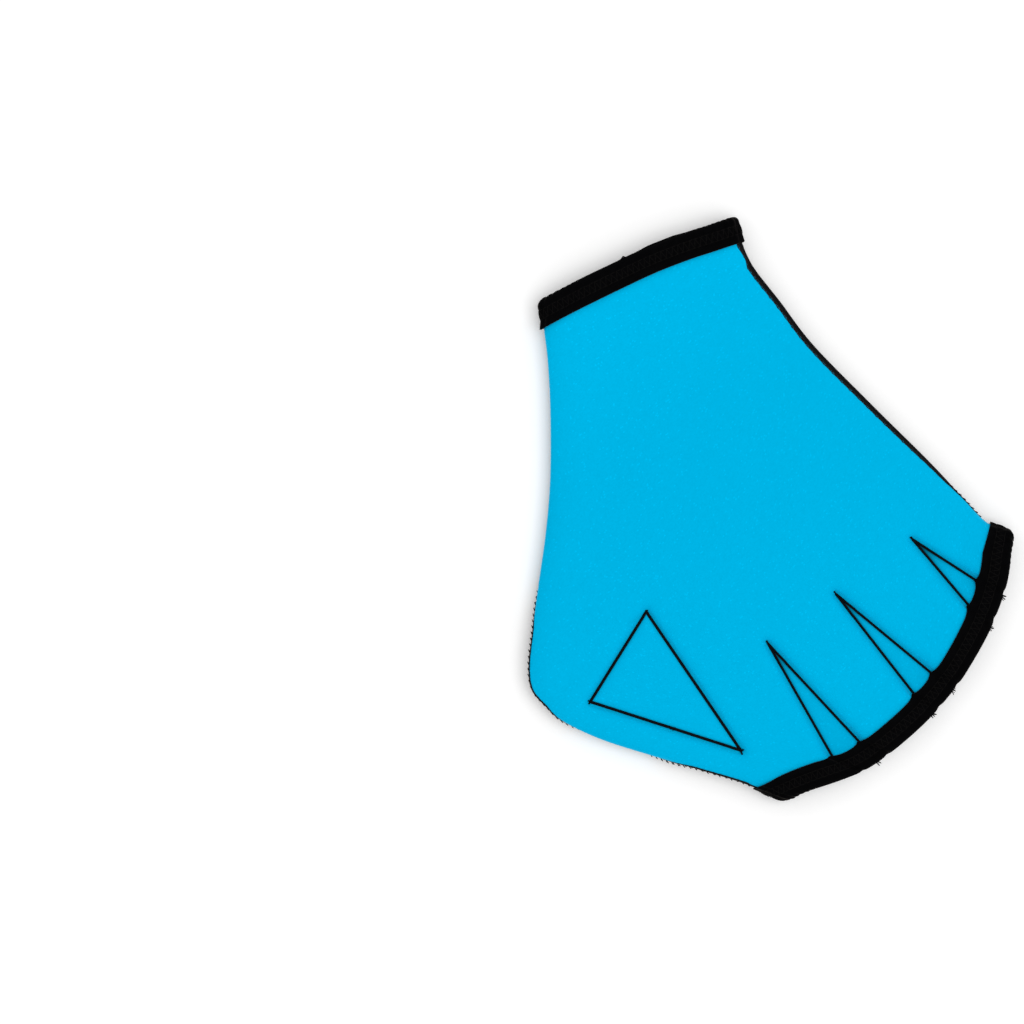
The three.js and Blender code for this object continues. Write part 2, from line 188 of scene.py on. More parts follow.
# A row is (along, fold): along runs from the wrist tape's edge to the finger tape's,
# and under a tape fold is the distance from the tape's fold
def spot(across, row):
    along, fold = row
    wristShare, fingerShare = tapeShare(across, 0), tapeShare(across, 1)
    if fold is None:
        return pattern(across, blend(wristShare, 1 - fingerShare, along))
    inner = wristShare if along == 0 else 1 - fingerShare
    return blend(pattern(across, along), pattern(across, inner), np.asarray(fold / glove["tapeWidth"]))


def heights(across, row, up):
    along, fold = row
    span = np.linalg.norm(pattern(across, 0) - pattern(across, 1), axis=-1)
    away = min(along, 1 - along) * span if fold is None else 0 * span
    tape = 1 - smooth(away / glove["tapeStep"])
    mouth = 1 - smooth(away / glove["mouthRise"])
    return {
        "half": blend(glove["foam"], glove["tapedFoam"], tape) / 2,
        "low": blend(handLow, mouthLow, tape),
        "high": blend(backHigh if up else palmHigh, mouthHigh, mouth),
        "away": away,
    }


tapeEdge = (1, None)
webCorners = {
    name: np.array([
        spot(web["across"], (web["along"], None)),
        spot(web["left"], tapeEdge),
        spot(web["right"], tapeEdge),
    ])
    for name, web in fingerWebs.items()
}
webCorners["web_seam_thumb"] = np.array([spot(across, (along, None)) for across, along in thumbWeb])
seamLines = {
    name: [(c[0], c[1]), (c[0], c[2])] + ([(c[1], c[2])] if name == "web_seam_thumb" else [])
    for name, c in webCorners.items()
}


def toSegment(points, a, b):
    along = b - a
    share = np.clip(((points - a) @ along) / (along @ along), 0, 1)
    return np.linalg.norm(points - (a + share[..., None] * along), axis=-1)


def toTriangle(points, corners):
    pairs = [(corners[i], corners[(i + 1) % 3]) for i in range(3)]
    gap = np.min([toSegment(points, a, b) for a, b in pairs], axis=0)
    sides = np.array([cross(b - a, points - a) for a, b in pairs])
    inside = np.all(sides >= 0, axis=0) | np.all(sides <= 0, axis=0)
    return np.where(inside, 0, gap)


def toWeb(points):
    return np.min([toTriangle(points, corners) for corners in webCorners.values()], axis=0)


def toSeam(points):
    lines = [line for pair in seamLines.values() for line in pair]
    return np.min([toSegment(points, a, b) for a, b in lines], axis=0)


# 0 on a closed web, 1 where the glove is open to its full height
def webLift(points):
    return dome((toWeb(points) - glove["seamPinch"]) / glove["webRise"])


def raised(flat, tapeFree, at, offset, turn):
    middle = blend(at["low"], at["high"], webLift(tapeFree))
    z = seamHeight + (middle + offset) * np.sin(turn)
    return np.concatenate([flat, np.broadcast_to(z, flat.shape[:-1])[..., None]], axis=-1)


def sideShare(row, half):
    return (glove["sideRise"] + half) / np.linalg.norm(spot(0.0, row) - spot(1.0, row))


# Points of the rounded side at some turns: 0 at the side seam, a quarter turn at the flat back
def sidePoints(side, turns, row, offset):
    end = 0.0 if side == "thumb" else 1.0
    turns = np.asarray(turns, float)
    upper, lower = heights(end, row, True), heights(end, row, False)
    at = {key: np.where(turns > 0, upper[key], lower[key]) for key in upper}
    half, rise = upper["half"], glove["sideRise"]
    depth = half - offset + (rise + offset) * (1 - np.cos(turns))

    def inward(r):
        flat = spot(abs(end - sideShare(r, half)), r)
        return blend(spot(end, r), flat, (depth / (rise + half))[..., None])

    return raised(inward(row), inward((row[0], None)), at, offset, turns)


# Where a row crosses the straight line between two points, as a share across the hand
def crossing(row, start, end):
    shares = np.linspace(0, 1, 161)
    side = cross(end - start, spot(shares, row) - start)
    k = np.flatnonzero(side[1:] * side[:-1] <= 0)[0]
    return blend(shares[k], shares[k + 1], side[k] / (side[k] - side[k + 1]))


# Columns run along the hand between the rounded sides. Each guide keeps one of them on a seam,
# with a few tight ones beside it, and the others are spaced evenly.
columns = {
    "tight": [0.35, 0.75, 1.2, 1.8],  # millimetres from a guide
    "first": 7,  # columns between the thumb side and the first guide
    "thumb": 24,  # over the thumb's web
    "finger": 15,  # between two webs
    "web": 7,  # inside a finger's web
    "spread": 0.0015,  # half the share between two guides at the point of a web
    "side": 12,  # round each side
}


def guideOf(corners, spread):
    return {"corners": corners, "spread": spread}


thumbPoint, thumbOuter, thumbInner = [{"across": across, "along": along} for across, along in thumbWeb]
guides = [
    guideOf([thumbPoint, thumbOuter, thumbInner], -columns["spread"]),
    guideOf([thumbPoint, thumbInner], columns["spread"]),
]
stretchCounts = [columns["first"], columns["thumb"]]
for web in fingerWebs.values():
    for side, spread in (("left", -columns["spread"]), ("right", columns["spread"])):
        guides.append(guideOf([web, {"across": web[side], "along": 1}], spread))
    stretchCounts += [columns["finger"], columns["web"]]
stretchCounts.append(columns["finger"])
wristSide = sideShare((0, None), glove["tapedFoam"] / 2)
for guide, share in zip(guides, np.cumsum(stretchCounts)[:-1] / sum(stretchCounts)):
    guide["wrist"] = blend(wristSide, 1 - wristSide, share)


def guideShare(guide, along):
    corners, spread = guide["corners"], guide["spread"]
    first, last = corners[0], corners[-1]
    if along <= first["along"]:
        return blend(guide["wrist"], first["across"] + spread, along / first["along"])
    if along >= last["along"]:
        return last["across"] + spread
    for start, end in zip(corners, corners[1:]):
        if along <= end["along"]:
            line = [spot(corner["across"], (corner["along"], None)) for corner in (start, end)]
            return crossing((along, None), *line) + spread


knownColumns = {}


def columnShares(row):
    if row not in knownColumns:
        knownColumns[row] = findColumns(row)
    return knownColumns[row]


def findColumns(row):
    side = sideShare(row, heights(0.0, row, True)["half"])
    across = np.linalg.norm(spot(0.0, row) - spot(1.0, row))
    down = np.linalg.norm(pattern(0.5, 0.0) - pattern(0.5, 1.0))
    lines, slants = [side], [0]
    step = 0.004 if row[0] > 0 else -0.004
    for guide in guides:
        here = guideShare(guide, row[0])
        lines.append(here)
        slants.append(math.hypot(1, (here - guideShare(guide, row[0] - step)) * across / (step * down)))
    lines.append(1 - side)
    slants.append(0)
    found = []
    for k, count in enumerate(stretchCounts):
        gap = (lines[k + 1] - lines[k]) * across
        start, end = (
            [min(d * slant / gap, 0.09 * (j + 1)) for j, d in enumerate(columns["tight"])] if slant else []
            for slant in (slants[k], slants[k + 1])
        )
        low, high = (start or [0])[-1], 1 - (end or [0])[-1]
        shares = ([0, *start[:-1]] if start else []) + list(np.linspace(low, high, count + 1))
        shares += [1 - e for e in reversed(end[:-1])] if end else []
        if not end:
            shares = shares[:-1]
        found += [blend(lines[k], lines[k + 1], share) for share in shares]
    return np.array([*found, lines[-1]])


def middlePoints(across, up, row, offset):
    at = heights(across, row, up)
    turn = math.pi / 2 if up else -math.pi / 2
    return raised(spot(across, row), spot(across, (row[0], None)), at, offset, turn)


def seamTurnAt(side, along):
    return math.radians(np.interp(along, seamTurn["along"], seamTurn[side]))


# The turns round a side that a panel covers, from its seam to where it is flat
def panelTurns(side, row, up):
    sign = 1 if up else -1
    seam = seamTurnAt(side, row[0])
    start = seam + sign * math.radians(panels["seamGap"])
    return blend(start, sign * math.pi / 2, np.linspace(0, 1, columns["side"], endpoint=False))


panels = {
    "rows": 150,
    "seamGap": 0.5,  # degrees of the rounded side, between a seam and each panel's edge
    "groove": 0.6,  # depth of the dent along a web seam
    "grooveWidth": 0.8,
    "puff": 0.5,  # swelling of a closed web between its seams
    "puffReach": 5.0,
    "sway": 0.22,  # height of the soft waves of the cloth
}


# What the sewing and the foam's own softness add to the outer face of a panel
def relief(points, away):
    seam = toSeam(points)
    dent = panels["groove"] * bell(seam, panels["grooveWidth"])
    inWeb = (toWeb(points) == 0) * smooth(away / glove["mouthRise"])
    puff = panels["puff"] * smooth(seam / panels["puffReach"]) * inWeb
    x, y = points[..., 0], points[..., 1]
    waves = np.sin(x / 9.5 + 0.8) * np.sin(y / 14.0 + x / 31.0) + 0.6 * np.sin(x / 5.7 - y / 7.9 + 2.0)
    sway = panels["sway"] * waves * smooth(away / glove["mouthRise"]) * webLift(points)
    return puff + sway - dent


# Painted shade: how much darker the cloth's colour is made, in the dents beside the seams and between two
# seams close to their point, where shade falls, and a little inside the webs and away from the wrist. Reaches
# and places are in millimetres.
paintedShades = {
    "seam": 0.3, "seamReach": 0.7,
    "point": 0.95, "pointReach": 10.0,
    "web": 0.07,
    "far": 0.05, "farFrom": 90, "farOver": 60,
}


def paintedShadeAt(points):
    seam = toSeam(points)
    webs = [corners for name, corners in webCorners.items() if name != "web_seam_thumb"]
    point = np.min([np.linalg.norm(points - corners[0], axis=-1) for corners in webs], axis=0)
    inside = np.min([toTriangle(points, corners) for corners in webs], axis=0) == 0
    close = inside * bell(point, paintedShades["pointReach"])
    far = smooth((paintedShades["farFrom"] - points[..., 1]) / paintedShades["farOver"])
    beside = paintedShades["seam"] * np.exp(-seam / paintedShades["seamReach"])
    return beside + paintedShades["point"] * close + paintedShades["web"] * inside + paintedShades["far"] * far


def panelRows():
    even = np.linspace(0, 1, panels["rows"] + 1)
    alongs = list(0.75 * even + 0.25 * (1 - np.cos(even * math.pi)) / 2)
    corners = [web["along"] for web in fingerWebs.values()] + [along for _, along in thumbWeb]
    alongs = [a for a in alongs if min(abs(a - c) for c in corners) > 0.003]
    inTape = glove["tape"] + glove["clearance"]
    folds = [inTape, 3.4, 6.0]
    return (
        [(0, fold) for fold in folds]
        + [(along, None) for along in sorted(alongs + corners)]
        + [(1, fold) for fold in reversed(folds)]
    )


def panelLine(up, row, across, offset):
    turns = {side: panelTurns(side, row, up) for side in ("thumb", "littleFinger")}
    return np.vstack([
        sidePoints("thumb", turns["thumb"], row, offset),
        middlePoints(across, up, row, offset),
        sidePoints("littleFinger", turns["littleFinger"], row, offset)[::-1],
    ])


# Two faces of cloth joined round their border into one closed body
def closedSheet(name, outer, inner, shade):
    rows, cols = outer.shape[:2]
    index = np.arange(rows * cols).reshape(rows, cols)
    quads = np.stack([index[:-1, :-1], index[:-1, 1:], index[1:, 1:], index[1:, :-1]], -1).reshape(-1, 4)
    border = np.concatenate([index[0, :-1], index[:-1, -1], index[-1, :0:-1], index[:0:-1, 0]])
    after = np.roll(border, -1)
    under = rows * cols
    rim = np.stack([after, border, border + under, after + under], -1)
    faces = np.vstack([quads, quads[:, ::-1] + under, rim])
    vertices = np.vstack([outer.reshape(-1, 3), inner.reshape(-1, 3)])
    a, b, c = (vertices[faces[:, k]] for k in (0, 1, 2))
    if np.einsum("ij,ij->", a, np.cross(b, c)) < 0:
        faces = faces[:, ::-1]
    step = np.linalg.norm(np.diff(outer, axis=1), axis=2)
    u = np.concatenate([np.zeros((rows, 1)), np.cumsum(step, axis=1)], axis=1)
    u -= u[:, cols // 2, None]
    down = np.linalg.norm(np.diff(outer[:, cols // 2], axis=0), axis=1)
    v = np.broadcast_to(np.concatenate([[0], np.cumsum(down)])[:, None], u.shape)
    uv = np.stack([u, v], -1).reshape(-1, 2)
    kinds = np.repeat([0, 1, 2], [len(quads), len(quads), len(rim)])
    made = makeMesh(name, vertices, faces, np.vstack([uv, uv]), kinds)
    print(name, "laid flat:", round(np.ptp(u)), "by", round(np.ptp(v)), "mm")
    # each outer point's painted shade is kept for the material; the inner face has none
    addValues(made, "shade", np.concatenate([shade.ravel(), 0 * shade.ravel()]))
    return made


def addValues(made, name, values):
    kind = "FLOAT" if np.ndim(values) == 1 else "FLOAT_VECTOR"
    layer = made.data.attributes.new(name, kind, "POINT")
    layer.data.foreach_set("value" if kind == "FLOAT" else "vector", np.asarray(values, np.float32).ravel())


# Makes a mesh object in metres; its UV map is in centimetres of cloth
def makeMesh(name, vertices, faces, uv=None, kinds=None):
    mesh = bpy.data.meshes.new(name)
    mesh.from_pydata((vertices * mm).tolist(), [], faces.tolist())
    mesh.shade_smooth()
    if uv is not None:
        layer = mesh.uv_layers.new(name="cloth")
        corners = np.zeros(len(mesh.loops), np.int32)
        mesh.loops.foreach_get("vertex_index", corners)
        layer.data.foreach_set("uv", (uv[corners] / 10).astype(np.float32).ravel())
    if kinds is not None:
        mesh.polygons.foreach_set("material_index", np.asarray(kinds, np.int32))
    mesh.set_sharp_from_angle(angle=math.radians(55))
    mesh.validate()
    made = bpy.data.objects.new(name, mesh)
    scene.collection.objects.link(made)
    return made


# The pattern's place in the frame: the solids were centred on their box
place = np.array([
    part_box("palm_panel")[0].x / mm - edges["thumb"](np.linspace(0, 1, 800))[:, 0].min(),
    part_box("wrist_binding")[1].y / mm - edges["wrist"](np.linspace(0, 1, 800))[:, 1].max(),
    0,
])


def makePanel(name, up):
    sign = 1 if up else -1
    outer, inner, shade = [], [], []
    for row in panelRows():
        across = columnShares(row)
        half = heights(0.0, row, up)["half"]
        top = panelLine(up, row, across, half)
        away = heights(across, row, up)["away"]
        shares = columns["side"]
        middle = slice(shares, len(top) - shares)
        added = relief(top[middle, :2], away)
        top[middle, 2] += sign * added
        turn = np.linspace(0, 1, shares, endpoint=False) ** 2
        top[:shares, 2] += sign * added[0] * turn
        top[-shares:, 2] += sign * added[-1] * turn[::-1]
        top[:, 2] = np.maximum(top[:, 2], 0)
        outer.append(top)
        inner.append(panelLine(up, row, across, -half))
        shade.append(paintedShadeAt(top[:, :2]))
    return closedSheet(name, np.array(outer) + place, np.array(inner) + place, np.array(shade))


back = makePanel("hand_back", True)
palm = makePanel("palm", False)
print("panels:", len(back.data.polygons), "and", len(palm.data.polygons), "faces")


# The folded tapes. Each goes once round its mouth: over the back, round one side, under the palm and back.
# Distances are in millimetres. A depth is how far from the fold a change of shape fades out.
tapes = {
    "rim": 0.22,  # rounding of a flap's edge
    "cusp": 1.3,  # how far the edge is drawn onto the panel at the end of a web seam
    "cuspReach": 1.5,
    "wider": {0: 0.55, 1: 0.35},  # the outer flap's edge beyond its plain width, at the wrist and the fingers
    "edgeFrom": 6.5,  # from the fold to where the flap starts to follow its edge
    "crease": 0.3,  # height lost where a web seam runs under the tape
    "creaseWidth": 0.9,
    "notch": {"in": 0.16, "width": 1.2, "depth": 4.0},  # the fold is drawn in there
    "gather": 0.24,  # height of the ridges near the side seams
    "gatherReach": 13.0,
    "gatherPitch": 2.1,
    "lump": 0.12,
    "sunk": 0.14,  # how far the needle rows pull the tape down
    "rowWidth": 0.5,
    # At the finger tape's two ends it is narrower or wider, and the fold's corner stands out
    "ends": {
        "thumb": {"narrower": 3.2, "reach": 14.0, "out": 2.9, "outReach": 5.5},
        "littleFinger": {"narrower": -1.35, "reach": 36.0, "out": 1.1, "outReach": 5.0},
    },
    "endDepth": 8.0,
    "bulk": {"out": 2.1, "reach": 6.0, "kept": 0.8},  # the wrist tape's end stands out at the thumb side
    "knot": {"at": 19.0, "out": 0.8, "width": 0.7, "depth": 2.0},  # a thread end under the wrist tape's fold
    # The stretch where the wrist tape's lower half shows beyond the upper one
    "under": {"start": 24, "end": 45, "out": 0.45, "fade": 6, "depth": 3.0, "below": 0.8},
    "needleRows": [3.6, 6.9],  # distances of those rows from the fold
}


# The section of a tape, from under the outer flap round to the inner flap
def tapeSection():
    full, inner, rim = glove["tapeWidth"], glove["innerTapeWidth"], tapes["rim"]
    mid, tuck = (tapeNear + tapeFar) / 2, glove["tape"]
    section = [(tuck, tapeNear), (full / 2, tapeNear), (full - rim, tapeNear), (full, mid)]
    first, second = tapes["needleRows"]
    flat = [full - rim, 9.1, 8.5, 7.9, 7.4, second, 6.3, 5.6, 4.9, 4.2, first, 3.0, 2.5]
    section += [(fold, tapeFar) for fold in flat]
    turns = np.radians(np.linspace(0, 180, 15))
    section += [(tapeFar * (1 - math.sin(a)), tapeFar * math.cos(a)) for a in turns]
    section += [(fold, -tapeFar) for fold in (3.2, 5.0, inner - rim)]
    return section + [(inner, -mid), (inner - rim, -tapeNear), (inner / 2, -tapeNear), (tuck, -tapeNear)]


# A loop of points for each point of the section, all with the same columns
def roundTape(along, section):
    half = math.pi / 2
    up = np.linspace(-half, half, 4 * columns["side"] + 1)[1:-1]
    across = denser(columnShares((along, None)), along)
    return np.array([
        np.vstack([
            sidePoints("thumb", up, (along, fold), offset),
            middlePoints(across, True, (along, fold), offset),
            sidePoints("littleFinger", up[::-1], (along, fold), offset),
            middlePoints(across[::-1], False, (along, fold), offset),
        ])
        for fold, offset in section
    ])


# Fills the wide gaps, so that ridges across a tape have faces enough
def denser(across, along):
    places = spot(across, (along, None))
    filled = []
    for a, b, width in zip(across, across[1:], np.linalg.norm(np.diff(places, axis=0), axis=1)):
        filled += list(np.linspace(a, b, max(1, round(width / 0.62)), endpoint=False))
    return np.array([*filled, across[-1]])


def normalsOf(grid):
    alongRing = np.roll(grid, -1, axis=1) - np.roll(grid, 1, axis=1)
    roundSection = np.roll(grid, -1, axis=0) - np.roll(grid, 1, axis=0)
    normals = np.cross(roundSection, alongRing)
    outwards = np.sign(normals[len(grid) // 4, grid.shape[1] // 3, 2])
    return outwards * normals / np.linalg.norm(normals, axis=-1, keepdims=True)


def runOf(loop):
    return np.concatenate([[0], np.cumsum(np.linalg.norm(np.diff(loop, axis=0), axis=1))])


# How far each place of a ring is, along it, from its two side seams
def toSides(loop):
    run = runOf(loop)
    total = run[-1] + np.linalg.norm(loop[0] - loop[-1])
    count = 4 * columns["side"] - 1
    across = (len(loop) - 2 * count) // 2
    seamsAt = {"thumb": run[count // 2], "littleFinger": run[count + across + count // 2]}
    return {side: np.minimum(abs(run - seam), total - abs(run - seam)) for side, seam in seamsAt.items()}


def makeTape(name, along):
    section = tapeSection()
    grid = roundTape(along, section)
    folds, offsets = [np.array(values)[:, None] for values in zip(*section)]
    foldLine, edge = [loop[:, :2] for loop in roundTape(along, [(0, 0), (glove["tapeWidth"], 0)])]
    inwards = (edge - foldLine) / np.linalg.norm(edge - foldLine, axis=-1, keepdims=True)
    ends = [end for web, corners in webCorners.items() if web != "web_seam_thumb" for end in corners[1:]]
    gap = np.min([np.linalg.norm(edge - end, axis=-1) for end in ends], axis=0)
    atFingers = along == 1
    gap = gap if atFingers else 0 * gap + 99
    # The edge of the outer flap is drawn onto the panel at the seams, and the fold is drawn in
    outerFlap = offsets > 0
    drawn = tapes["cusp"] * np.exp(-gap / tapes["cuspReach"]) + tapes["wider"][along]
    edgeFrom = tapes["edgeFrom"]
    nearEdge = smooth((folds - edgeFrom) / (glove["tapeWidth"] - edgeFrom)) * outerFlap
    grid[..., :2] += (nearEdge * drawn)[..., None] * inwards

    def fading(depth):
        return 1 - smooth(folds / depth)

    notch = tapes["notch"]
    pull = notch["in"] * bell(gap, notch["width"]) * fading(notch["depth"])
    sides = toSides(edge)
    if atFingers:
        for side, end in tapes["ends"].items():
            pull = pull - end["narrower"] * bell(sides[side], end["reach"]) * folds / glove["tapeWidth"]
            pull = pull - end["out"] * bell(sides[side], end["outReach"]) * fading(tapes["endDepth"])
    else:
        x = foldLine[:, 0] + place[0]
        knot, under, bulk = tapes["knot"], tapes["under"], tapes["bulk"]
        pull = pull - knot["out"] * bell(x - knot["at"], knot["width"]) * fading(knot["depth"]) * outerFlap
        shown = smooth((x - under["start"]) / under["fade"]) * smooth((under["end"] - x) / under["fade"])
        pull = pull - under["out"] * shown * fading(under["depth"]) * (offsets < under["below"])
        corner = bell(sides["thumb"], bulk["reach"]) * (1 - bulk["kept"] * smooth(folds / tapes["endDepth"]))
        grid[..., 0] -= bulk["out"] * corner
    grid[..., :2] += pull[..., None] * inwards
    # Dents, ridges and lumps of the tape's outer face
    normals = normalsOf(grid)
    run = runOf(edge)
    nearSide = bell(np.minimum(*sides.values()), tapes["gatherReach"])
    crease = -tapes["crease"] * bell(gap, tapes["creaseWidth"])
    phase = run / tapes["gatherPitch"] * 2 * math.pi + 1.3 * np.sin(run / 7.0) + folds * 0.25
    gather = tapes["gather"] * nearSide * np.sin(phase)
    lump = tapes["lump"] * np.sin(run / 5.3 + folds * 0.4) * np.sin(run / 8.9 + 1.0)
    sunk = -tapes["sunk"] * sum(bell(folds - row, tapes["rowWidth"]) for row in tapes["needleRows"])
    onFace = outerFlap * smooth((glove["tapeWidth"] + 0.1 - folds) / 0.6) * (offsets > tapeNear + 0.1)
    onFold = (1 - smooth((folds - 2.0) / 0.5)) * (offsets > -tapeNear) * 0.6
    grid += ((crease + gather + lump + sunk) * np.maximum(onFace, onFold))[..., None] * normals
    grid[..., 2] = np.maximum(grid[..., 2], 0)
    # One closed body
    count, size = grid.shape[:2]
    index = np.arange(count * size).reshape(count, size)
    over, down = np.roll(index, -1, axis=1), np.roll(index, -1, axis=0)
    faces = np.stack([index, over, np.roll(over, -1, axis=0), down], -1).reshape(-1, 4)
    vertices = grid.reshape(-1, 3) + place
    a, b, c = (vertices[faces[:, k]] for k in (0, 1, 2))
    if np.einsum("ij,ij->", a, np.cross(b, c)) < 0:
        faces = faces[:, ::-1]
    width = runOf(np.array(section))[:, None]
    uv = np.stack(np.broadcast_arrays(run[None, :], width), -1).reshape(-1, 2)
    onTop = [fold if offset == tapeFar else None for fold, offset in section]
    rows = [k for k, fold in enumerate(onTop) if fold in tapes["needleRows"]]
    normals = normalsOf(grid)
    return {
        "made": makeMesh(name, vertices, faces, uv),
        "needleRows": [(grid[k] + place, normals[k], True) for k in rows],
        "rowWidths": [width[k, 0] / 10 for k in rows],
        "fold": grid[len(section) // 2 + 2] + place,
        "outwards": -inwards,
        "round": run[-1],
    }


wristTape = makeTape("wrist_tape", 0)
fingerTape = makeTape("finger_tape", 1)
print("tapes:", round(wristTape["round"]), "and", round(fingerTape["round"]), "mm round")


# Node trees
def newTree(name, kind, inputs, outputs):
    tree = bpy.data.node_groups.new(name, kind)
    for way, sockets in (("INPUT", inputs), ("OUTPUT", outputs)):
        for label, socketKind, *value in sockets:
            socket = tree.interface.new_socket(label, in_out=way, socket_type="NodeSocket" + socketKind)
            if value:
                socket.default_value = value[0]
    return tree, tree.nodes.new("NodeGroupInput").outputs, tree.nodes.new("NodeGroupOutput").inputs


def addNode(tree, kind, settings=None, **inputs):
    node = tree.nodes.new(kind)
    for key, value in (settings or {}).items():
        setattr(node, key, value)
    for key, value in inputs.items():
        setInput(tree, node, int(key[1:]) if key[0] == "_" else key.replace("_", " "), value)
    return node


def setInput(tree, node, key, value):
    if isinstance(value, bpy.types.NodeSocket):
        tree.links.new(value, node.inputs[key])
    else:
        node.inputs[key].default_value = value


def calc(tree, operation, *values):
    node = tree.nodes.new("ShaderNodeMath")
    node.operation = operation
    for k, value in enumerate(values):
        setInput(tree, node, k, value)
    return node.outputs[0]


def scaled(tree, vector, scale):
    return addNode(tree, "ShaderNodeVectorMath", {"operation": "SCALE"}, _0=vector, Scale=scale).outputs[0]


def turnedBy(tree, rotation, local):
    return addNode(tree, "FunctionNodeRotateRotation", {"rotation_space": "LOCAL"}, _0=rotation, _1=local)


# Stitches along a path: a thread laid along it and short stitches over it, standing on the cloth
def makeStitchTree():
    tree, given, made = newTree("stitches", "GeometryNodeTree", [
        ("Path", "Geometry"), ("Pitch", "Float", 0.0024), ("Length", "Float", 0.0025),
        ("Thread", "Float", 0.0003), ("Arch", "Float", 0.0004), ("Core", "Float", 0.0004),
        ("Turn", "Float", 0.2), ("Sway", "Float", 0.0), ("Sink", "Float", 0.0002), ("Jitter", "Float", 0.08),
        ("Seed", "Int", 7), ("Material", "Material"),
    ], [("Threads", "Geometry")])
    path = addNode(tree, "GeometryNodeMeshToCurve", _0=given["Path"]).outputs[0]
    points = addNode(tree, "GeometryNodeResampleCurve", {"mode": "LENGTH"}, Curve=path, Length=given["Pitch"])
    face = addNode(tree, "GeometryNodeInputNamedAttribute", {"data_type": "FLOAT_VECTOR"}, Name="face")
    tangent = addNode(tree, "GeometryNodeInputTangent").outputs[0]
    stand = addNode(
        tree, "FunctionNodeAxesToRotation", {"primary_axis": "Z", "secondary_axis": "X"},
        _0=face.outputs[0], _1=tangent,
    )
    index = addNode(tree, "GeometryNodeInputIndex").outputs[0]
    parity = calc(tree, "MULTIPLY_ADD", calc(tree, "MODULO", index, 2.0), 2.0, -1.0)
    chance = addNode(tree, "FunctionNodeRandomValue", {"data_type": "FLOAT"}, Seed=given["Seed"])
    chance.inputs[2].default_value, chance.inputs[3].default_value = -1, 1
    wobble = calc(tree, "MULTIPLY", chance.outputs[1], given["Jitter"])
    turn = calc(tree, "MULTIPLY_ADD", parity, given["Turn"], wobble)
    spin = addNode(tree, "ShaderNodeCombineXYZ", Z=turn).outputs[0]
    local = addNode(tree, "FunctionNodeEulerToRotation", _0=spin).outputs[0]
    facing = turnedBy(tree, stand.outputs[0], local)
    half = calc(tree, "MULTIPLY", given["Length"], 0.5)
    down = calc(tree, "MULTIPLY", given["Sink"], -1.0)
    start = addNode(tree, "ShaderNodeCombineXYZ", X=calc(tree, "MULTIPLY", half, -1.0), Z=down).outputs[0]
    top = addNode(tree, "ShaderNodeCombineXYZ", Z=calc(tree, "MULTIPLY", given["Arch"], 2.0)).outputs[0]
    end = addNode(tree, "ShaderNodeCombineXYZ", X=half, Z=down).outputs[0]
    bow = addNode(tree, "GeometryNodeCurveQuadraticBezier", Resolution=7, Start=start, Middle=top, End=end)
    thin = addNode(tree, "GeometryNodeCurvePrimitiveCircle", Resolution=6, Radius=given["Thread"])
    stitch = addNode(
        tree, "GeometryNodeCurveToMesh", Curve=bow.outputs[0], Profile_Curve=thin.outputs[0], Fill_Caps=True
    )
    laid = addNode(
        tree, "GeometryNodeInstanceOnPoints",
        Points=points.outputs[0], Instance=stitch.outputs[0], Rotation=facing.outputs[0],
    )
    aside = addNode(tree, "ShaderNodeCombineXYZ", Y=calc(tree, "MULTIPLY", parity, given["Sway"])).outputs[0]
    moved = addNode(tree, "GeometryNodeTranslateInstances", Instances=laid.outputs[0], Translation=aside)
    thick = addNode(tree, "GeometryNodeCurvePrimitiveCircle", Resolution=8, Radius=given["Core"])
    core = addNode(
        tree, "GeometryNodeCurveToMesh", Curve=path, Profile_Curve=thick.outputs[0], Fill_Caps=True
    )
    finishTree(tree, made, given, [moved.outputs[0], core.outputs[0]])
    return tree


# Loose ends of thread, one at each point of the given mesh, leaning at random about its own direction
def makeTailTree():
    tree, given, made = newTree("tails", "GeometryNodeTree", [
        ("Path", "Geometry"), ("Length", "Float", 0.002), ("Thread", "Float", 0.00012),
        ("Lean", "Float", 0.5), ("Seed", "Int", 3), ("Material", "Material"),
    ], [("Threads", "Geometry")])
    face = addNode(tree, "GeometryNodeInputNamedAttribute", {"data_type": "FLOAT_VECTOR"}, Name="face")
    stand = addNode(tree, "FunctionNodeAlignRotationToVector", {"axis": "Z"}, Vector=face.outputs[0])
    lean = addNode(tree, "FunctionNodeRandomValue", {"data_type": "FLOAT_VECTOR"}, Seed=given["Seed"])
    lean.inputs[0].default_value, lean.inputs[1].default_value = (-1, -1, -3), (1, 1, 3)
    angles = scaled(tree, lean.outputs[0], given["Lean"])
    local = addNode(tree, "FunctionNodeEulerToRotation", _0=angles).outputs[0]
    facing = turnedBy(tree, stand.outputs[0], local)
    size = addNode(tree, "FunctionNodeRandomValue", {"data_type": "FLOAT"}, Seed=given["Seed"])
    size.inputs[2].default_value, size.inputs[3].default_value = 0.6, 1.2
    middle = addNode(
        tree, "ShaderNodeCombineXYZ",
        X=calc(tree, "MULTIPLY", given["Length"], 0.25), Z=calc(tree, "MULTIPLY", given["Length"], 0.5),
    ).outputs[0]
    end = addNode(tree, "ShaderNodeCombineXYZ", Z=given["Length"]).outputs[0]
    bow = addNode(
        tree, "GeometryNodeCurveQuadraticBezier", Resolution=6,
        Start=(0, 0, -0.4 * mm), Middle=middle, End=end,
    )
    thin = addNode(tree, "GeometryNodeCurvePrimitiveCircle", Resolution=5, Radius=given["Thread"])
    tail = addNode(
        tree, "GeometryNodeCurveToMesh", Curve=bow.outputs[0], Profile_Curve=thin.outputs[0], Fill_Caps=True
    )
    laid = addNode(
        tree, "GeometryNodeInstanceOnPoints",
        Points=given["Path"], Instance=tail.outputs[0], Rotation=facing.outputs[0], Scale=size.outputs[1],
    )
    finishTree(tree, made, given, [laid.outputs[0]])
    return tree


